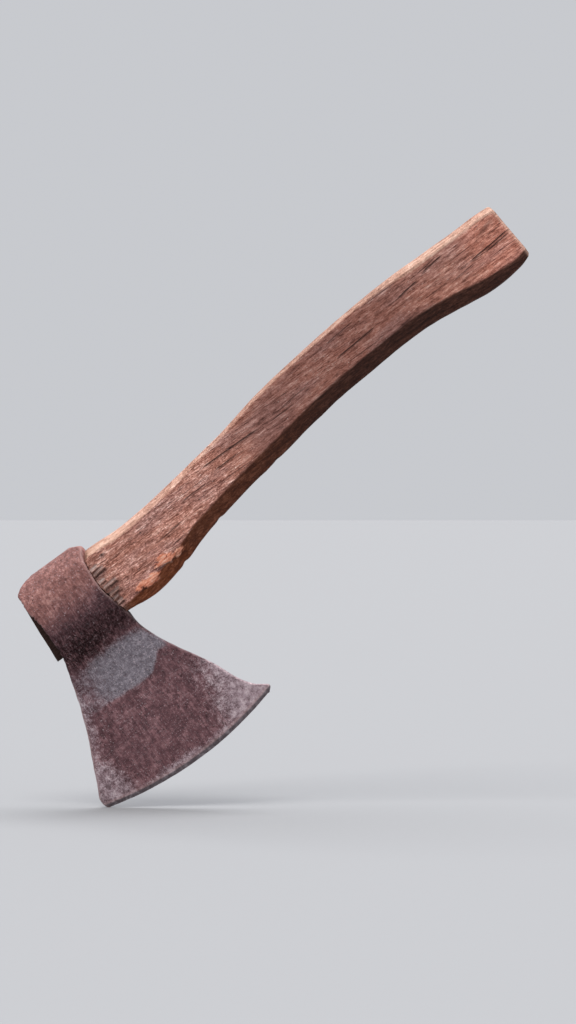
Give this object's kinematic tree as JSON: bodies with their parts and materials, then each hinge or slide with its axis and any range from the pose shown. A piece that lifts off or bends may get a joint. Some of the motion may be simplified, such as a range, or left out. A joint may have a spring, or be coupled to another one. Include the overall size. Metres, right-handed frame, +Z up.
{
  "type": "hatchet",
  "caption": "Short one-hand hatchet: forged wrapped-eye head with a flared, curved bit on a faceted, gently curved wooden handle with a swelled butt.",
  "frame": {"origin": "middle of the cutting edge, in the blade's middle plane", "axes": "+Z up, with the blade standing on its edge and the handle rising at 36 degrees to level; +X level, in the blade's plane, towards the butt of the handle; +Y across the blade"},
  "size_m": [0.3099, 0.034, 0.3651],
  "materials": {
    "forged_steel": "hand-forged steel with a dark purple-brown patina, pitted, and worn grey on the blade",
    "weathered_wood": "weathered, handled hardwood, hand-carved facets, dry and matt",
    "wedge_wood": "dark, dry end grain",
    "wedge_steel": "rusted forged steel"
  },
  "bodies": {
    "root": {"axe_head": "forged_steel", "handle": "weathered_wood", "wooden_wedge": "wedge_wood", "steel_wedge": "wedge_steel"}
  },
  "joints": []
}
